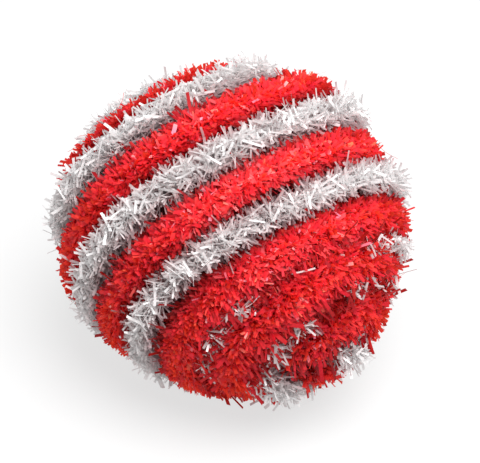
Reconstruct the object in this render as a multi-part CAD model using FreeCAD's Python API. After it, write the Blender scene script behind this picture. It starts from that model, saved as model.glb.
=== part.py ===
import FreeCAD, Part
import math
import os

# Tinsel ball: a foam ball with two strands of tinsel chenille, one silver and one red, wound
# over it side by side from a front pole to a back pole. Each strand is a pile of film strips
# held by a pair of wires. Millimetres, +Z up. The origin is the middle of the patch on which
# the ball lies, where its own weight has pressed the pile flat.

V = FreeCAD.Vector

# --- driving dimensions -----------------------------------------------------------------
core_diameter = 35.0        # bare foam ball
pile_height = 6.8           # strand's thickness, from the foam to the tips of the strips
max_pile_width = 6.4        # strand's widest, where its neighbours leave it room
row_gap = 0.15              # left clear between neighbouring rows
core_gap = 0.1              # left clear between the foam and the pile
press_depth = 1.5           # how far the pile is pressed in where the ball lies

wire_diameter = 0.45        # one of the two wires that grip the strips
wire_gap = 0.06             # left clear between the two wires
bore_clearance = 0.08       # left clear between the wires and the pile
wire_bend_radius = 1.6      # where a strand's wires turn down into the foam
wire_depth = 7.0            # length of the wire ends below the bend

glue_thickness = 0.7        # glue pad on the foam under the strands' ends
glue_half_angle = 24.0      # degrees, the pad's reach from its pole

# Where the rows cross the winding's reference plane, in degrees from the front pole. A strand
# that crosses at one angle on one side of the ball crosses at the next on the other side, half
# a turn on. The two strands start on opposite sides, so the rows on each side alternate.
row_angles = [5, 15, 25, 35, 44, 54, 66, 79, 93, 109, 125, 141, 156, 170]

axis_heading = 33.0         # degrees, front pole's direction from -Y towards +X
axis_dip = 22.0             # degrees, front pole's direction below the horizontal
axis_roll = 125.0           # degrees, the reference plane's turn from the horizontal

# Side of the reference plane, 1 or -1, on which each strand starts
first_sides = {"red": -1, "silver": 1}

# --- derived sizes ----------------------------------------------------------------------
core_radius = core_diameter / 2
winding_radius = core_radius + core_gap + pile_height / 2
outer_radius = winding_radius + pile_height / 2
centre_height = outer_radius - press_depth
wire_radius = wire_diameter / 2
wire_offset = wire_radius + wire_gap / 2
bore_radius = wire_offset + wire_radius + bore_clearance
last_row = len(row_angles) - 1

ORIGIN = V(0, 0, 0)
SIDEWAYS = V(0, 1, 0)       # normal of the reference plane


def direction(angle, side):
    """Unit vector from the ball's middle to a row in the reference plane."""
    turn = math.radians(angle)
    return V(side * math.sin(turn), 0, math.cos(turn))


def half_turn_axis(row, side):
    """Axis, through the ball's middle, that carries one row's crossing to the next."""
    tilt = math.radians((row_angles[row] - row_angles[row + 1]) / 2) * side
    return V(math.sin(tilt), 0, math.cos(tilt))


def row_spacing(row):
    """Angle in radians between a row and its nearer neighbour."""
    before = row_angles[row] - row_angles[max(row - 1, 0)]
    after = row_angles[min(row + 1, last_row)] - row_angles[row]
    return math.radians(min(step for step in (before, after) if step > 0))


def pile_width(rows):
    """Width that leaves the row gap at the straight sides' inner ends."""
    spacing = min(row_spacing(row) for row in rows)
    width = (spacing * (winding_radius - pile_height / 2) - row_gap) / (1 - spacing / 2)
    return min(width, max_pile_width)


def pile_section(angle, side, width):
    """Strand's section: straight sides, round top and bottom, a bore for the wires."""
    outward = direction(angle, side)
    across = outward.cross(SIDEWAYS)
    middle = outward * winding_radius
    half = width / 2
    rise = (pile_height - width) / 2
    low, high = middle - outward * rise, middle + outward * rise
    edges = [
        Part.LineSegment(low - across * half, high - across * half).toShape(),
        Part.Arc(high - across * half, high + outward * half, high + across * half).toShape(),
        Part.LineSegment(high + across * half, low + across * half).toShape(),
        Part.Arc(low + across * half, low - outward * half, low - across * half).toShape(),
    ]
    bore = Part.Circle(middle, SIDEWAYS, bore_radius).toShape()
    return Part.makeFace([Part.Wire(edges), Part.Wire([bore])], "Part::FaceMakerBullseye")


def wire_section(angle, side, offset):
    """One wire's round section."""
    middle = direction(angle, side) * (winding_radius + offset)
    return Part.Face(Part.Wire([Part.Circle(middle, SIDEWAYS, wire_radius).toShape()]))


def half_turns(name):
    """(row, side) at the start of each of a strand's half turns, front to back."""
    return [(row, first_sides[name] * (-1) ** row) for row in range(last_row)]


def joined(shapes):
    """One solid from pieces that meet face to face."""
    if len(shapes) == 1:
        return shapes[0]
    return shapes[0].multiFuse(shapes[1:]).removeSplitter()


def pile_turn(starts):
    """Pile of one turn of a strand: up to two half turns with one section."""
    rows = [row for row, side in starts]
    width = pile_width(rows + [rows[-1] + 1])
    pieces = []
    for row, side in starts:
        section = pile_section(row_angles[row], side, width)
        pieces.append(section.revolve(ORIGIN, half_turn_axis(row, side), -180))
    return joined(pieces)


def wire_end(angle, side, offset, turn):
    """A wire's end: a quarter bend towards the foam, then straight into it."""
    outward = direction(angle, side)
    across = outward.cross(SIDEWAYS)
    section = wire_section(angle, side, offset)
    hinge = outward * (winding_radius - wire_bend_radius)
    bend = section.revolve(hinge, across, turn * 90)
    foot = section.copy()
    foot.rotate(hinge, across, turn * 90)
    return [bend, foot.extrude(outward * -wire_depth)]


def strand_wire(name, offset):
    """One wire of a strand, from its end in the foam to its other end."""
    starts = half_turns(name)
    first_side = starts[0][1]
    end_side = -starts[-1][1]
    pieces = wire_end(row_angles[0], first_side, offset, first_side)
    for row, side in starts:
        section = wire_section(row_angles[row], side, offset)
        pieces.append(section.revolve(ORIGIN, half_turn_axis(row, side), -180))
    pieces += wire_end(row_angles[last_row], end_side, offset, -end_side)
    return joined(pieces)


def glue_pad(pole):
    """Cap of glue on the foam round one pole, 1 for the front and -1 for the back."""
    shell = Part.makeSphere(core_radius + glue_thickness).cut(Part.makeSphere(core_radius))
    reach = core_radius * 2
    spread = reach * math.tan(math.radians(glue_half_angle))
    cone = Part.makeCone(0, spread, reach, ORIGIN, V(0, 0, pole))
    return shell.common(cone)


def placed(shape):
    """From the winding's own frame, front pole up, to the lying ball's frame."""
    roll = FreeCAD.Rotation(V(0, 0, 1), axis_roll)
    tip = FreeCAD.Rotation(V(1, 0, 0), 90 + axis_dip)
    turn = FreeCAD.Rotation(V(0, 0, 1), axis_heading)
    result = shape.copy()
    result.Placement = FreeCAD.Placement(V(0, 0, centre_height), turn * tip * roll)
    return result


def cut_flat(shape):
    """The shape without what would be below the surface that the ball lies on."""
    if shape.BoundBox.ZMin >= 0:
        return shape
    reach = outer_radius * 3
    above = Part.makeBox(reach, reach, reach, V(-reach / 2, -reach / 2, 0))
    return shape.common(above)


def build():
    """Every sub-part, by its node's name."""
    wires = {}
    for name in first_sides:
        wires[name + "_wire_outer"] = strand_wire(name, wire_offset)
        wires[name + "_wire_inner"] = strand_wire(name, -wire_offset)
    all_wires = list(wires.values())
    pads = {
        "front_glue_pad": glue_pad(1).cut(all_wires),
        "back_glue_pad": glue_pad(-1).cut(all_wires),
    }
    nodes = {"core_ball": Part.makeSphere(core_radius).cut(all_wires)}
    nodes.update(pads)
    nodes.update(wires)
    for name in first_sides:
        starts = half_turns(name)
        for number, first in enumerate(range(0, len(starts), 2), start=1):
            turn = pile_turn(starts[first:first + 2]).cut(list(pads.values()) + all_wires)
            nodes["%s_pile_turn_%d" % (name, number)] = turn
    return {node: cut_flat(placed(shape)) for node, shape in nodes.items()}


os.makedirs("parts", exist_ok=True)
for node, shape in build().items():
    shape.exportStep("parts/%s.step" % node)
    print(node, "valid", shape.isValid(), "solids", len(shape.Solids), "mm3 %.2f" % shape.Volume)
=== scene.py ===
import math

import bpy
import numpy as np
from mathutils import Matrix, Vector


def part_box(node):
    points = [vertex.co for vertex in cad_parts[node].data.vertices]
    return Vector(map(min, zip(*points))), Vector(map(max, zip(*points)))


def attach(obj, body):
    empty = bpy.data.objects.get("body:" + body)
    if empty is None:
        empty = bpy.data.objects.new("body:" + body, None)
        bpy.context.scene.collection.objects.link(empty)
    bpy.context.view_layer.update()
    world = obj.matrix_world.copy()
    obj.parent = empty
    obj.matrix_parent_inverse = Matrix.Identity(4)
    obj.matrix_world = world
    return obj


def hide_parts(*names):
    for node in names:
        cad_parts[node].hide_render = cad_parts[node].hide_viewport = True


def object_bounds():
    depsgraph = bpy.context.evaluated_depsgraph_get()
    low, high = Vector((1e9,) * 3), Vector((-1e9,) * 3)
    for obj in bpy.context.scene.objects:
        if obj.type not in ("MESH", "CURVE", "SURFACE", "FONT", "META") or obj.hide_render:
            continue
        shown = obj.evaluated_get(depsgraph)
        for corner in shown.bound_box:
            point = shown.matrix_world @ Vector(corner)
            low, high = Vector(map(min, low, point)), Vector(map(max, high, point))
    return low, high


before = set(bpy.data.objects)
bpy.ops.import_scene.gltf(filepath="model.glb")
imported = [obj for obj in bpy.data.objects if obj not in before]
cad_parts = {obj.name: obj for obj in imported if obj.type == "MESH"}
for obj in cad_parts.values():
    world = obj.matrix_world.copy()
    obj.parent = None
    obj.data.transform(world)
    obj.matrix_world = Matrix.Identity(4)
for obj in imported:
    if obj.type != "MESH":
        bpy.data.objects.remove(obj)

# Tinsel ball: a foam ball wound with one silver and one red strand of tinsel chenille.
# Metres, +Z up, the origin under the ball's middle on the surface it lies on. The CAD holds the
# core, the wires, the glue and a plain solid for each turn of each strand's pile. Here each of
# those turns becomes its film strips, and each strand's two wires become a twisted pair. The
# core and the glue are the CAD's own shapes, with new materials.

CAD_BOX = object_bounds()
MM = 0.001

# --- the winding, as in the CAD ---------------------------------------------------------
# A row position counts a strand's half turns from the front pole.
ROW_ANGLES = np.radians([5, 15, 25, 35, 44, 54, 66, 79, 93, 109, 125, 141, 156, 170])
AXIS_HEADING = math.radians(33)
AXIS_DIP = math.radians(22)
AXIS_ROLL = math.radians(125)
FIRST_SIDE = {"red": -1, "silver": 1}
LAST_ROW = len(ROW_ANGLES) - 1
ROWS_IN_TURN = 2

core_low, core_high = (np.array(corner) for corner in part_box("core_ball"))
CENTRE = (core_low + core_high) / 2
CORE_RADIUS = float((core_high - core_low)[0]) / 2
TIP_RADIUS = float(CAD_BOX[1][2]) - CENTRE[2]
WINDING_RADIUS = (CORE_RADIUS + TIP_RADIUS) / 2

# --- the ball's shape -------------------------------------------------------------------
SQUASH_KEEP = 0.955                 # the ball's thickness across the squashed direction
SQUASH_WAY = np.array((0.28, 0.62, 0.74))
SQUASH_WAY /= np.linalg.norm(SQUASH_WAY)
# Where the winding swells or hollows the ball: direction, height and spread in radians
LUMPS = (
    ((0.47, -0.79, -0.39), 2.4 * MM, 0.5),      # crowded rows round the front pole
    ((0.57, 0.53, 0.63), 1.4 * MM, 0.27),
    ((0.26, 0.62, 0.74), -0.5 * MM, 0.2),
    ((1.0, 0.0, 0.0), 0.3 * MM, 0.4),
    ((-0.5, 0.56, 0.66), -1.1 * MM, 0.4),
    ((-0.45, -0.57, -0.68), -0.2 * MM, 0.4),
    ((-0.97, 0.15, 0.2), 0.9 * MM, 0.4),
    ((0.82, 0.37, 0.44), -0.6 * MM, 0.2),
    ((0.94, -0.22, -0.26), -0.9 * MM, 0.2),
    ((0.5, -0.56, -0.66), 0.9 * MM, 0.25),
    ((-0.9, -0.27, -0.32), 0.8 * MM, 0.25),
)
FLOOR_GAP = 0.04 * MM
FLOOR_GIVE = 0.02                   # share that is left of a depth below the floor

# --- uneven winding: the seed, size and rate of each wander along a strand ----------------
WANDER_OUT = (11, 0.25 * MM, 5)     # away from the foam
WANDER_ACROSS = (12, 0.3 * MM, 6)
CLUMPS = (13, 0.12, 60)             # of the pile's length
WAVE_COUNT = 6
WAVE_SPEEDS = (0.5, 2.2)
WAVE_SIZES = (0.4, 1)

# Single places, each a row position, a width in rows and a size
SHIFTS = {                          # rows that lie further from the front pole
    "silver": (
        (2.4, 0.3, 1.8 * MM), (5.65, 0.3, 1.2 * MM),
        (7.7, 0.3, 1.0 * MM), (12.0, 0.35, 2.0 * MM),
    ),
    "red": (
        (1.4, 0.3, 1.5 * MM), (3.3, 0.3, 1.3 * MM),
        (6.7, 0.3, 1.0 * MM), (11.0, 0.35, 1.6 * MM),
    ),
}
SILVER_SHOWS = (                    # the buried silver strand comes up between red rows
    (0.5, 0.36, 1.0), (1.4, 0.36, 1.0), (1.88, 0.06, 0.8), (2.05, 0.05, 0.8),
    (2.3, 0.05, 0.7), (2.55, 0.06, 0.7), (3.66, 0.06, 0.8), (3.8, 0.06, 0.8),
    (3.94, 0.05, 0.8), (4.5, 0.2, 0.9),
)
# The red strand is pressed down there too, and the silver tips reach further sideways
RED_GIVES_WAY = ((0.52, 0.32, 1.0), (1.85, 0.12, 0.8), (2.22, 0.18, 1.0))
SILVER_SPREADS = ((0.5, 0.36, 2.6 * MM), (1.38, 0.3, 3.6 * MM))

# Changes along a strand, each as row positions and the values there
SILVER_BURIED = ((0, 4.7, 5.4), (1, 1, 0))
SILVER_PAINTED_SHADE = ((1.7, 1.85, 4.2, 4.4), (0.7, 0.4, 0.4, 1))     # painted shade: darker where it peeps out between the red rows
# The same in millimetres that the tips reach further sideways
RED_COVERS_BACK = ((0, 1.0, 4.9, 5.8), (0.6, 3.0, 3.0, 0))      # towards the front pole
RED_COVERS_ON = ((0, 1.0, 3.6, 4.2), (0.6, 3.0, 3.0, 0))        # away from it
SILVER_DRAWN_IN = ((4.7, 5.4), (-1.2, 0))
BACK_POLE_CLOSED = ((11.6, 12.5), (0, 2.6))

BURIED_SHARE = 0.75                 # share of a buried strand's strips that are left out
BURIED_DEPTH = 2.8 * MM
ESCAPE_SHARE = 0.1                  # share of the strips that a buried strand still sends up
ESCAPE_DEPTH = 0.5                  # how deep those are at most, as a share of the strand's depth
COVER_EXTRA = 0.35                  # more strips where red rows spread over the silver strand
COVER_LAST_ROW = 6                  # the last row that has them

# --- the film strips --------------------------------------------------------------------
STRIPS = {
    "silver": {
        "per_mm": 52.0,             # strips for each millimetre of strand
        "width": (0.2 * MM, 0.42 * MM),
        "reach_out": 4.0 * MM,      # from the wires to the tips, away from the foam
        "overlap": 0.9 * MM,        # how far the tips lie over the neighbouring rows
        "lean": 0.6,                # spread of the strips' lean along the strand, radians
        "bend": 0.1,                # spread of the strips' bend, as a share of their length
        "fullness": 0.88,           # of the room between the rows
        "softness": 0.05,           # how evenly the light lies on the pile
        "shortest": 0.6,            # of the full length
        "lying": 0.35,              # share of the strips that lie across the others
        "lying_length": (2.0 * MM, 3.8 * MM),
    },
    "red": {
        "per_mm": 132.0,
        "width": (0.2 * MM, 0.58 * MM),
        "reach_out": 2.8 * MM,
        "overlap": 0.7 * MM,
        "lean": 0.6,
        "bend": 0.2,
        "fullness": 1.1,
        "softness": 0.6,
        "shortest": 0.75,
        "lying": 0.55,
        "lying_length": (0.8 * MM, 1.9 * MM),
    },
}
TURN_PROBES = 400                   # points at which a turn's length is measured
SEGMENTS = 3                        # faces along a strip
CORNERS = 2 * (SEGMENTS + 1)
STRIP_FOOT = 0.12                   # share of a strip that is left out, inside the wires
WIDEST_HALF_ROW = 3.2 * MM
FAN = 1.85                          # how far the strips turn to each side, radians
LONGEST = 1.06                      # of the full length
FOOT_SCATTER = 0.3 * MM
LYING_RISE = (-0.25, 0.75)          # radians
LYING_PLACE = 0.8                   # of the pile's half width, to each side
LYING_HEIGHT = (0.2, 0.95)          # of the pile's height
LYING_BELOW_TIPS = 0.5 * MM
FLYAWAY_SHARE = 0.08                # share of the strips that reach over the next row
FLYAWAY_REACH = 1.8 * MM
HAIR_SHARE = 0.0012
HAIR_WIDTH = 0.06 * MM
HAIR_LENGTH = (3, 6)                # millimetres
HAIR_RISE = 0.1                     # slope away from the foam
HAIR_LIFT = 0.1 * MM                # above the tips
HAIR_BEND = 0.3                     # of the length
TIP_LIMIT = 1.12                    # how far a tip may stand out, of the strips' reach
LEAST_CLIMB = 0.2                   # steepness from which strips are cut to that limit in full
LEAST_LENGTH = 0.4 * MM
SIDE_PAINTED_SHADE = 0.7                    # how much painted shade darkens a strand's sides against its crown

# --- the wires --------------------------------------------------------------------------
WIRE_RADIUS = 0.225 * MM
WIRE_APART = 0.51 * MM              # between the middles of a strand's two wires
WIRE_TWIST = 5.0 * MM               # strand length of one full twist
WIRE_DEPTH = 6.5 * MM               # of the ends in the foam
WIRE_STEPS = 1400
WIRE_END_STEPS = 12
WIRE_END_START = 0.1                # share of an end's depth at its first point
WIRE_SIDES = 8


def rotation_x(angle):
    c, s = math.cos(angle), math.sin(angle)
    return np.array(((1, 0, 0), (0, c, -s), (0, s, c)))


def rotation_z(angle):
    c, s = math.cos(angle), math.sin(angle)
    return np.array(((c, -s, 0), (s, c, 0), (0, 0, 1)))


TO_BALL = rotation_z(AXIS_HEADING) @ rotation_x(math.pi / 2 + AXIS_DIP) @ rotation_z(AXIS_ROLL)


def unit(vectors):
    return vectors / np.linalg.norm(vectors, axis=-1, keepdims=True)


def bumps(q, places):
    """Sum of smooth bumps, each given by its row position, width and height."""
    total = np.zeros_like(q, dtype=float)
    for middle, width, height in places:
        total += height * np.exp(-(((q - middle) / width) ** 2))
    return total


def waves(q, seed, size, rate):
    """Smooth uneven wander along a strand, about size large."""
    random = np.random.default_rng(seed)
    total = np.zeros_like(q)
    for _ in range(WAVE_COUNT):
        speed = rate * random.uniform(*WAVE_SPEEDS)
        wave = np.sin(q * speed + random.uniform(0, 2 * math.pi))
        total += wave * random.uniform(*WAVE_SIZES)
    return total * size / 2


def winding(strand, q):
    """Outward and forward unit vectors of a strand at row positions q."""
    row = np.clip(np.floor(q).astype(int), 0, LAST_ROW - 1)
    side = FIRST_SIDE[strand] * np.where(row % 2 == 0, 1, -1)
    here, ahead = ROW_ANGLES[row], ROW_ANGLES[row + 1]
    start = np.stack((side * np.sin(here), np.zeros_like(here), np.cos(here)), axis=1)
    tilt = (here - ahead) / 2 * side
    axis = np.stack((np.sin(tilt), np.zeros_like(tilt), np.cos(tilt)), axis=1)
    turn = -math.pi * (q - row)[:, None]
    along = np.sum(axis * start, axis=1, keepdims=True)
    outward = (
        start * np.cos(turn)
        + np.cross(axis, start) * np.sin(turn)
        + axis * along * (1 - np.cos(turn))
    )
    forward = unit(-np.cross(axis, outward))
    shift = bumps(q, SHIFTS[strand])[:, None]
    outward = unit(outward + np.cross(outward, forward) * shift / WINDING_RADIUS)
    forward = unit(forward - outward * np.sum(forward * outward, axis=1, keepdims=True))
    return outward @ TO_BALL.T, forward @ TO_BALL.T


def row_pitch(q):
    """Distance between the middles of neighbouring rows, at row positions q."""
    steps = np.diff(ROW_ANGLES)
    middles = np.arange(len(steps)) + 0.5
    return np.interp(q, middles, steps) * WINDING_RADIUS


def strand_line(q, outward, across, sunk):
    """Points between a strand's two wires, at row positions q."""
    line = CENTRE + outward * (WINDING_RADIUS - sunk + waves(q, *WANDER_OUT))[:, None]
    return line + across * waves(q, *WANDER_ACROSS)[:, None]


def shaped(points):
    """The ball's uneven, slightly squashed form, pressed flat by the surface below it."""
    offset = points - CENTRE
    across = (offset @ SQUASH_WAY)[:, None]
    distance = np.linalg.norm(offset, axis=1)
    swell = np.zeros(len(points))
    for way, height, spread in LUMPS:
        angle = np.arccos(np.clip(offset @ unit(np.array(way)) / distance, -1, 1))
        swell += height * np.exp(-((angle / spread) ** 2))
    offset = offset * (1 + swell / TIP_RADIUS)[:, None]
    offset = offset + SQUASH_WAY * across * (SQUASH_KEEP - 1)
    points = offset + CENTRE
    pressed = FLOOR_GAP + (FLOOR_GAP - points[:, 2]) * FLOOR_GIVE
    points[:, 2] = np.where(points[:, 2] < FLOOR_GAP, pressed, points[:, 2])
    return points


def buried(strand, q):
    """How far, from 0 to 1, a strand is pressed down at row positions q."""
    if strand == "red":
        return np.clip(bumps(q, RED_GIVES_WAY), 0, 1)
    return np.interp(q, *SILVER_BURIED) * (1 - np.clip(bumps(q, SILVER_SHOWS), 0, 1))


def sink(strand, q):
    """How much nearer to the foam a strand lies at row positions q."""
    return buried(strand, q) * BURIED_DEPTH


def cover(strand, q, away):
    """How much further strips reach sideways, away from the front pole or towards it."""
    close = np.where(away, np.interp(q, *BACK_POLE_CLOSED), 0) * MM
    if strand == "silver":
        return np.interp(q, *SILVER_DRAWN_IN) * MM + bumps(q, SILVER_SPREADS) + close
    back = np.interp(q, *RED_COVERS_BACK)
    on = np.interp(q, *RED_COVERS_ON)
    return np.where(away, on, back) * MM * (1 - buried(strand, q)) + close


def strip_rows(strand, first, last, random):
    """Row positions of one turn's strips, spread evenly along the strand."""
    probe = np.linspace(first, last, TURN_PROBES)
    outward = winding(strand, probe)[0]
    steps = np.linalg.norm(np.diff(outward, axis=0), axis=1) * WINDING_RADIUS
    length = steps.sum()
    count = int(length / MM * STRIPS[strand]["per_mm"])
    if strand == "red" and last <= COVER_LAST_ROW:
        count = int(count * (1 + COVER_EXTRA))
    reached = np.concatenate(((0,), np.cumsum(steps))) / length
    q = np.interp(random.random(count), reached, probe)
    return q[random.random(count) > buried(strand, q) * BURIED_SHARE]


def ribbon_mesh(name, points, count):
    """Mesh of ribbons that each have CORNERS points, in pairs from the foot to the tip."""
    start = np.arange(count)[:, None] * CORNERS
    faces = []
    for k in range(SEGMENTS):
        faces.append(start + np.array((2 * k, 2 * k + 1, 2 * k + 3, 2 * k + 2)))
    faces = np.stack(faces, axis=1).reshape(-1, 4)
    mesh = bpy.data.meshes.new(name)
    mesh.vertices.add(len(points))
    mesh.vertices.foreach_set("co", points.astype(np.float32).ravel())
    mesh.loops.add(faces.size)
    mesh.loops.foreach_set("vertex_index", faces.astype(np.int32).ravel())
    mesh.polygons.add(len(faces))
    mesh.polygons.foreach_set("loop_start", np.arange(0, faces.size, 4, dtype=np.int32))
    mesh.update(calc_edges=True)
    return mesh


def set_values(mesh, name, values):
    """Give each point of a mesh a number that its material reads."""
    data = mesh.attributes.new(name, "FLOAT", "POINT").data
    data.foreach_set("value", values.astype(np.float32))


def strip_mesh(name, strand, first, last, seed):
    """One turn of a strand, from row position first to last, as a mesh of film strips."""
    look = STRIPS[strand]
    random = np.random.default_rng(seed)
    q = strip_rows(strand, first, last, random)
    count = len(q)
    outward, forward = winding(strand, q)
    across = np.cross(outward, forward)         # away from the front pole
    pitch = row_pitch(q)

    escapes = random.random(count) < ESCAPE_SHARE
    sunk = sink(strand, q) * np.where(escapes, random.uniform(0, ESCAPE_DEPTH, count), 1)
    wires = strand_line(q, outward, across, sunk)

    # Strips that stand out from the wires and fan to both sides
    half_width = np.minimum(pitch / 2, WIDEST_HALF_ROW) * look["fullness"]
    turn = random.uniform(-FAN, FAN, count)
    covers = cover(strand, q, turn > 0)
    flyaway = FLYAWAY_REACH * (random.random(count) < FLYAWAY_SHARE)
    side_reach = half_width + look["overlap"] + covers + flyaway
    lean = random.normal(0, look["lean"], count)
    reach = 1 / np.sqrt(
        (np.cos(turn) / look["reach_out"]) ** 2 + (np.sin(turn) / side_reach) ** 2
    )
    reach *= random.uniform(look["shortest"], LONGEST, count) * (1 + waves(q, *CLUMPS))
    way = (
        outward * (np.cos(turn) * np.cos(lean))[:, None]
        + across * (np.sin(turn) * np.cos(lean))[:, None]
        + forward * np.sin(lean)[:, None]
    )
    base = wires + random.normal(0, FOOT_SCATTER, (count, 3))

    # Strips that lie across the others, at any height in the pile
    lying = random.random(count) < look["lying"]
    heading = random.uniform(0, 2 * math.pi, count)
    rise = random.uniform(*LYING_RISE, count)
    flat_way = (
        outward * np.sin(rise)[:, None]
        + across * (np.cos(rise) * np.cos(heading))[:, None]
        + forward * (np.cos(rise) * np.sin(heading))[:, None]
    )
    length = random.uniform(*look["lying_length"], count)
    place = random.uniform(-LYING_PLACE, LYING_PLACE, count)
    height = random.uniform(*LYING_HEIGHT, count) * np.sqrt(1 - place ** 2)
    middle = wires + outward * (height * (look["reach_out"] - LYING_BELOW_TIPS))[:, None]
    place = np.where(place * turn > 0, place, -place)
    middle = middle + across * (place * (half_width + np.maximum(covers, 0)))[:, None]
    low_end = middle - flat_way * (length / 2)[:, None]
    way = unit(np.where(lying[:, None], flat_way, way))
    base = np.where(lying[:, None], low_end, base)
    reach = np.where(lying, length, reach)

    # A few hair-thin slivers lie loose over the pile
    hair = random.random(count) < HAIR_SHARE
    hair_way = unit(
        across * np.cos(heading)[:, None]
        + forward * np.sin(heading)[:, None]
        + outward * HAIR_RISE
    )
    way = np.where(hair[:, None], hair_way, way)
    reach = np.where(hair, random.uniform(*HAIR_LENGTH, count) * MM, reach)
    base = np.where(hair[:, None], wires + outward * (look["reach_out"] + HAIR_LIFT), base)

    # No tip stands far out of the pile
    limit = WINDING_RADIUS - sunk + look["reach_out"] * TIP_LIMIT
    tip = base + way * reach[:, None]
    over = np.maximum(np.linalg.norm(tip - CENTRE, axis=1) - limit, 0)
    climb = np.maximum(np.sum(way * outward, axis=1), LEAST_CLIMB)
    reach = np.maximum(reach - over / climb, LEAST_LENGTH)

    # Each strip's bend and width, with its front turned away from the foam
    bent = unit(np.cross(way, random.normal(size=(count, 3))))
    flat = unit(np.cross(way, random.normal(size=(count, 3))))
    facing = np.sum(np.cross(flat, way) * outward, axis=1, keepdims=True)
    flat = np.where(facing < 0, -flat, flat)
    bend = random.normal(0, look["bend"], count) * reach
    bend = np.where(hair, HAIR_BEND * reach, bend)
    half = random.uniform(*look["width"], count) / 2
    half = np.where(hair, HAIR_WIDTH / 2, half)
    rails = []
    for step in np.linspace(STRIP_FOOT, 1, SEGMENTS + 1):
        spine = base + way * (reach * step)[:, None] + bent * (bend * step * step)[:, None]
        rails.append(spine - flat * half[:, None])
        rails.append(spine + flat * half[:, None])
    points = np.stack(rails, axis=1).reshape(-1, 3)

    # How near each point is to the top of the pile and to the middle of its row, from 0 to 1; the
    # lower, the more painted shade darkens the strip's colour there
    offset = points - CENTRE
    above = (np.linalg.norm(offset, axis=1) - WINDING_RADIUS) / look["reach_out"]
    aside = np.sum(offset * np.repeat(across, CORNERS, axis=0), axis=1)
    aside = aside / np.repeat(half_width + np.clip(covers, 0, pitch / 2), CORNERS)
    crown = np.clip(above, 0, 1) * np.clip(1 - SIDE_PAINTED_SHADE * aside ** 2, 0, 1)

    mesh = ribbon_mesh(name, shaped(points), count)
    # Thin film passes light on, so its normals turn partly to the way the pile's surface faces
    face_way = np.cross(flat, way)
    normals = unit(face_way * (1 - look["softness"]) + outward * look["softness"])
    mesh.normals_split_custom_set_from_vertices(np.repeat(normals, CORNERS, axis=0).tolist())
    # A random tone for each strip; in the red film the highest values are painted glints and
    # sheen
    shade = random.random(count)
    # Painted shade on the silver strips where the strand peeps out between the red rows
    if strand == "silver":
        shade = shade * np.interp(q, *SILVER_PAINTED_SHADE)
    set_values(mesh, "shade", np.repeat(shade, CORNERS))
    # Carried to the material, where it sets the painted shade
    set_values(mesh, "crown", crown)
    return mesh


def wire_path(strand, phase):
    """Middle line of one wire of a strand's twisted pair, with its ends pushed into the foam."""
    q = np.linspace(0, LAST_ROW, WIRE_STEPS)
    outward, forward = winding(strand, q)
    across = np.cross(outward, forward)
    middle = strand_line(q, outward, across, sink(strand, q))
    steps = np.linalg.norm(np.diff(middle, axis=0), axis=1)
    travelled = np.concatenate(((0,), np.cumsum(steps)))
    twist = (2 * math.pi * travelled / WIRE_TWIST + phase)[:, None]
    path = middle + (outward * np.cos(twist) + across * np.sin(twist)) * WIRE_APART / 2
    ends = []
    for end, way in ((0, -1), (-1, 1)):
        inward = np.linspace(WIRE_END_START, 1, WIRE_END_STEPS)[:, None]
        leave = path[end] + way * forward[end] * WIRE_APART * np.sqrt(inward)
        depth = np.linalg.norm(path[end] - CENTRE) - CORE_RADIUS + WIRE_DEPTH
        ends.append(leave - outward[end] * depth * inward)
    return shaped(np.concatenate((ends[0][::-1], path, ends[1])))


def wire_mesh(name, strand, phase):
    """One wire of a strand's twisted pair, round and closed at both ends."""
    path = wire_path(strand, phase)
    along = unit(np.gradient(path, axis=0))
    side = unit(np.cross(along, path - CENTRE))
    lift = np.cross(side, along)
    angles = np.linspace(0, 2 * math.pi, WIRE_SIDES, endpoint=False)
    ring = side[:, None] * np.cos(angles)[:, None] + lift[:, None] * np.sin(angles)[:, None]
    points = (path[:, None] + ring * WIRE_RADIUS).reshape(-1, 3)
    faces = []
    for k in range(len(path) - 1):
        for j in range(WIRE_SIDES):
            here, there = k * WIRE_SIDES, (k + 1) * WIRE_SIDES
            after = (j + 1) % WIRE_SIDES
            faces.append((here + j, here + after, there + after, there + j))
    faces.append(tuple(range(WIRE_SIDES))[::-1])
    faces.append(tuple(range(len(points) - WIRE_SIDES, len(points))))
    mesh = bpy.data.meshes.new(name)
    mesh.from_pydata(points.tolist(), [], faces)
    mesh.polygons.foreach_set("use_smooth", [True] * (len(faces) - 2) + [False] * 2)
    mesh.validate()
    return mesh


def add_piece(mesh, material):
    """An object in the scene, named as its mesh is."""
    mesh.materials.append(material)
    piece = bpy.data.objects.new(mesh.name, mesh)
    bpy.context.scene.collection.objects.link(piece)
    return piece


# --- materials --------------------------------------------------------------------------
FILM_GRAIN = 1500
FILM_STREAKS = ((0.35, (0.86, 0.86, 0.86)), (0.65, (1, 1, 1)))
ROUGHNESS_SPREAD = 37.0             # makes a strip's roughness independent of its colour


def new_material(name):
    """A material with one surface shader, and its nodes, its links and that shader."""
    material = bpy.data.materials.new(name)
    material.use_nodes = True
    nodes, links = material.node_tree.nodes, material.node_tree.links
    nodes.clear()
    output = nodes.new("ShaderNodeOutputMaterial")
    output.name = "surface"
    shader = nodes.new("ShaderNodeBsdfPrincipled")
    links.new(shader.outputs[0], output.inputs[0])
    return material, nodes, links, shader


def ramp(nodes, stops):
    node = nodes.new("ShaderNodeValToRGB")
    elements = node.color_ramp.elements
    elements[0].position, elements[0].color = stops[0][0], (*stops[0][1], 1)
    elements[1].position, elements[1].color = stops[-1][0], (*stops[-1][1], 1)
    for place, colour in stops[1:-1]:
        elements.new(place).color = (*colour, 1)
    return node


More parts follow.
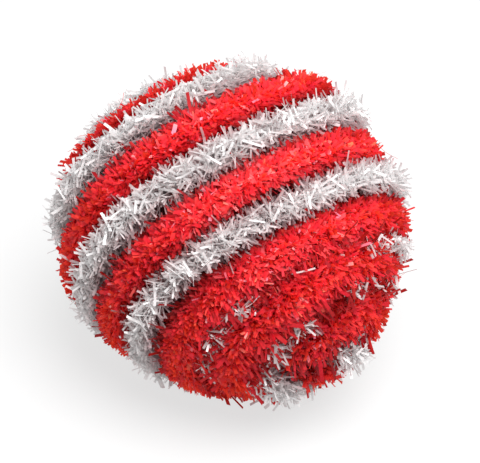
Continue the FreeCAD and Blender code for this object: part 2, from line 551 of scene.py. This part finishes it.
def multiply(nodes, links, first, second):
    """Product of two colours, the second of which may be a constant."""
    mix = nodes.new("ShaderNodeMix")
    mix.data_type = "RGBA"
    mix.blend_type = "MULTIPLY"
    mix.inputs["Factor"].default_value = 1
    links.new(first, mix.inputs["A"])
    if isinstance(second, tuple):
        mix.inputs["B"].default_value = (*second, 1)
    else:
        links.new(second, mix.inputs["B"])
    return mix.outputs["Result"]


def film(name, stops, depth, metallic, specular, rough, glow, glow_colour):
    """Film strips: a colour for each strip, with painted shade that darkens it towards the foot
    of the pile and the sides of its row.
    """
    material, nodes, links, shader = new_material(name)
    # Each strip's random tone, whose highest red values are painted highlights
    shade = nodes.new("ShaderNodeAttribute")
    shade.attribute_name = "shade"
    colours = ramp(nodes, stops)
    links.new(shade.outputs["Fac"], colours.inputs[0])

    # Painted shade: the depth ramp darkens the colour where a strip lies low in the pile or at
    # the side of its row
    crown = nodes.new("ShaderNodeAttribute")
    crown.attribute_name = "crown"
    painted_shade_ramp = ramp(nodes, depth)
    links.new(crown.outputs["Fac"], painted_shade_ramp.inputs[0])

    place = nodes.new("ShaderNodeTexCoord")
    grain = nodes.new("ShaderNodeTexNoise")
    grain.inputs["Scale"].default_value = FILM_GRAIN
    links.new(place.outputs["Object"], grain.inputs["Vector"])
    streaks = ramp(nodes, FILM_STREAKS)
    links.new(grain.outputs["Fac"], streaks.inputs[0])

    tint = multiply(nodes, links, colours.outputs[0], painted_shade_ramp.outputs[0])
    tint = multiply(nodes, links, tint, streaks.outputs[0])
    links.new(tint, shader.inputs["Base Color"])
    shader.inputs["Metallic"].default_value = metallic
    shader.inputs["Specular IOR Level"].default_value = specular

    rougher = ramp(nodes, [(step, (value,) * 3) for step, value in rough])
    scatter = nodes.new("ShaderNodeMath")
    scatter.operation = "FRACT"
    spread = nodes.new("ShaderNodeMath")
    spread.operation = "MULTIPLY"
    spread.inputs[1].default_value = ROUGHNESS_SPREAD
    links.new(shade.outputs["Fac"], spread.inputs[0])
    links.new(spread.outputs[0], scatter.inputs[0])
    links.new(scatter.outputs[0], rougher.inputs[0])
    links.new(rougher.outputs[0], shader.inputs["Roughness"])

    through = nodes.new("ShaderNodeBsdfTranslucent")
    # The light that passes through the film is darkened by the same painted shade
    passed = multiply(nodes, links, painted_shade_ramp.outputs[0], glow_colour)
    links.new(passed, through.inputs["Color"])
    mix = nodes.new("ShaderNodeMixShader")
    mix.inputs[0].default_value = glow
    links.new(shader.outputs[0], mix.inputs[1])
    links.new(through.outputs[0], mix.inputs[2])
    links.new(mix.outputs[0], nodes["surface"].inputs[0])
    return material


def speckled(name, low, high, scale, rough, bump, metallic=0.0):
    """A plain material with grain of one size: foam, glue or drawn wire."""
    material, nodes, links, shader = new_material(name)
    place = nodes.new("ShaderNodeTexCoord")
    cells = nodes.new("ShaderNodeTexVoronoi")
    cells.inputs["Scale"].default_value = scale
    colours = ramp(nodes, [(0.0, low), (1.0, high)])
    lift = nodes.new("ShaderNodeBump")
    lift.inputs["Distance"].default_value = bump
    links.new(place.outputs["Object"], cells.inputs["Vector"])
    links.new(cells.outputs["Distance"], colours.inputs[0])
    links.new(colours.outputs[0], shader.inputs["Base Color"])
    links.new(cells.outputs["Distance"], lift.inputs["Height"])
    links.new(lift.outputs[0], shader.inputs["Normal"])
    shader.inputs["Roughness"].default_value = rough
    shader.inputs["Metallic"].default_value = metallic
    return material


FILM = {
    "silver": film(
        "silver_film",
        stops=[
            (0.0, (0.3, 0.28, 0.28)),
            (0.1, (0.54, 0.525, 0.525)),
            (0.35, (0.62, 0.615, 0.615)),
            (0.85, (0.68, 0.675, 0.675)),
            (1.0, (0.76, 0.76, 0.76)),
        ],
        # depth: painted shade towards the foot of the pile, tinted pink as a painted reflection
        # of the red pile
        depth=[(0.0, (0.68, 0.5, 0.52)), (0.35, (0.97, 0.92, 0.92)), (0.6, (1, 1, 1))],
        metallic=0.35,
        specular=0.35,
        rough=[(0.0, 0.25), (0.08, 0.45), (1.0, 0.6)],
        glow=0.55,
        glow_colour=(0.84, 0.82, 0.82),
    ),
    "red": film(
        "red_film",
        stops=[
            (0.0, (0.68, 0.025, 0.04)),
            (0.5, (0.82, 0.042, 0.045)),
            (0.93, (0.9, 0.07, 0.05)),
            # painted highlights: the strips with the highest values get orange glints and a
            # pinkish-white sheen
            (0.96, (0.95, 0.22, 0.08)),
            (0.98, (0.85, 0.26, 0.22)),
            (1.0, (0.95, 0.6, 0.52)),
        ],
        # depth: painted shade, dark crimson towards the foot of the pile and the sides of its row
        depth=[
            (0.05, (0.45, 0.2, 0.3)),
            (0.35, (0.7, 0.35, 0.55)),
            (0.65, (0.97, 0.6, 1)),
            (1.0, (1, 0.95, 0.9)),
        ],
        metallic=0.0,
        specular=0.35,
        rough=[(0.0, 0.1), (0.12, 0.32), (1.0, 0.55)],
        glow=0.6,
        glow_colour=(0.93, 0.075, 0.035),
    ),
}
FOAM = speckled("foam", (0.16, 0.006, 0.01), (0.09, 0.004, 0.008), 500, 0.8, 0.1 * MM)
GLUE = speckled("glue", (0.5, 0.4, 0.25), (0.6, 0.5, 0.33), 300, 0.3, 0.05 * MM)
WIRE = speckled("wire", (0.4, 0.4, 0.41), (0.6, 0.6, 0.6), 2500, 0.35, 0.01 * MM, metallic=1.0)

CAD_FINISH = {
    "core_ball": FOAM,
    "front_glue_pad": GLUE,
    "back_glue_pad": GLUE,
}
for node, finish in CAD_FINISH.items():
    for slot in bpy.data.objects[node].material_slots:
        slot.material = finish

# --- the strands ------------------------------------------------------------------------
seed = 1
for strand, material in FILM.items():
    for turn, first in enumerate(range(0, LAST_ROW, ROWS_IN_TURN), start=1):
        last = min(first + ROWS_IN_TURN, LAST_ROW)
        mesh = strip_mesh("%s_strips_turn_%d" % (strand, turn), strand, first, last, seed)
        piece = add_piece(mesh, material)
        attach(piece, "root")
        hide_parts("%s_pile_turn_%d" % (strand, turn))
        seed += 1

for strand in FILM:
    for place, phase in (("outer", 0), ("inner", math.pi)):
        piece = add_piece(wire_mesh("%s_twisted_wire_%s" % (strand, place), strand, phase), WIRE)
        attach(piece, "root")
        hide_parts("%s_wire_%s" % (strand, place))

# --- floor and light --------------------------------------------------------------------
FLOOR_REACH = 3.0
FLOOR_COLOUR = (0.11, 0.11, 0.11, 1)
FLOOR_ROUGHNESS = 0.9
FLOOR_GLOW = 0.68
WHITE = (1, 1, 1, 1)
WORLD_STRENGTH = 0.95
SOFTBOX_PLACE = Vector((0.22, -0.34, 0.93))
SOFTBOX_SIZE = 0.75
SOFTBOX_POWER = 28

floor_mesh = bpy.data.meshes.new("floor")
floor_mesh.from_pydata(
    [(-FLOOR_REACH, -FLOOR_REACH, 0), (FLOOR_REACH, -FLOOR_REACH, 0),
     (FLOOR_REACH, FLOOR_REACH, 0), (-FLOOR_REACH, FLOOR_REACH, 0)],
    [], [(0, 1, 2, 3)],
)
floor_material, _, _, shader = new_material("floor")
shader.inputs["Base Color"].default_value = FLOOR_COLOUR
shader.inputs["Roughness"].default_value = FLOOR_ROUGHNESS
shader.inputs["Emission Color"].default_value = WHITE
shader.inputs["Emission Strength"].default_value = FLOOR_GLOW
floor = add_piece(floor_mesh, floor_material)

world = bpy.data.worlds.new("studio")
bpy.context.scene.world = world
world.use_nodes = True
world.node_tree.nodes["Background"].inputs[0].default_value = WHITE
world.node_tree.nodes["Background"].inputs[1].default_value = WORLD_STRENGTH

softbox_data = bpy.data.lights.new("softbox", "AREA")
softbox_data.shape = "DISK"
softbox_data.size = SOFTBOX_SIZE
softbox_data.energy = SOFTBOX_POWER
softbox = bpy.data.objects.new("softbox", softbox_data)
softbox.location = SOFTBOX_PLACE
towards_ball = Vector(CENTRE) - SOFTBOX_PLACE
softbox.rotation_euler = towards_ball.to_track_quat("-Z", "Y").to_euler()
bpy.context.scene.collection.objects.link(softbox)

# --- camera -----------------------------------------------------------------------------
CAMERA_ELEVATION = math.radians(40)
CAMERA_DISTANCE = 0.6
CAMERA_NEAR = 0.01
SENSOR_WIDTH = 36                   # millimetres
FRAME_WIDTH = 65.2 * MM             # width that the picture covers at the ball
AIM_RIGHT = 0.9 * MM
AIM_UP = -0.5 * MM
view = Vector((0, -math.cos(CAMERA_ELEVATION), math.sin(CAMERA_ELEVATION)))
up = Vector((0, math.sin(CAMERA_ELEVATION), math.cos(CAMERA_ELEVATION)))
aim = Vector(CENTRE) + Vector((1, 0, 0)) * AIM_RIGHT + up * AIM_UP
camera_data = bpy.data.cameras.new("camera")
camera_data.sensor_width = SENSOR_WIDTH
camera_data.lens = SENSOR_WIDTH * CAMERA_DISTANCE / FRAME_WIDTH
camera_data.clip_start = CAMERA_NEAR
camera = bpy.data.objects.new("camera", camera_data)
camera.location = aim + view * CAMERA_DISTANCE
camera.rotation_euler = view.to_track_quat("Z", "Y").to_euler()
bpy.context.scene.collection.objects.link(camera)
bpy.context.scene.camera = camera
bpy.context.scene.view_settings.view_transform = "Standard"
